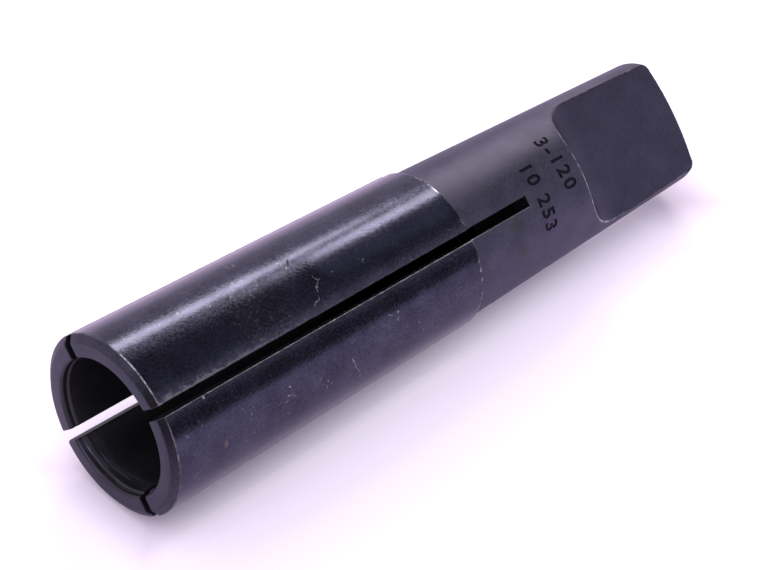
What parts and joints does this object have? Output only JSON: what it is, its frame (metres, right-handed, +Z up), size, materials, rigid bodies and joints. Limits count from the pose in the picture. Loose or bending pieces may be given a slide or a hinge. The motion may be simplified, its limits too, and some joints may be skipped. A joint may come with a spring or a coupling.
{
  "type": "split sleeve tap driver",
  "caption": "One-piece tapered sleeve, split by slots from its mouth, with a stepped neck and a flat tang, that grips and drives a tap.",
  "frame": {"origin": "bottom centre of the box, on the surface that the sleeve lies on", "axes": "+Z up; +X from the mouth to the tang, the sleeve's own axis dropping 1.44 degrees towards +X because the taper lies on its lowest line; turned 45 degrees about its own axis, so that the middle of a finger is lowest and the tang's flats are at 45 degrees"},
  "size_m": [0.0946, 0.0238, 0.0238],
  "materials": {
    "black_oxide_steel": "black oxide, half gloss, rubbed bright on edges"
  },
  "bodies": {
    "root": {"split_sleeve": "black_oxide_steel"}
  },
  "joints": []
}
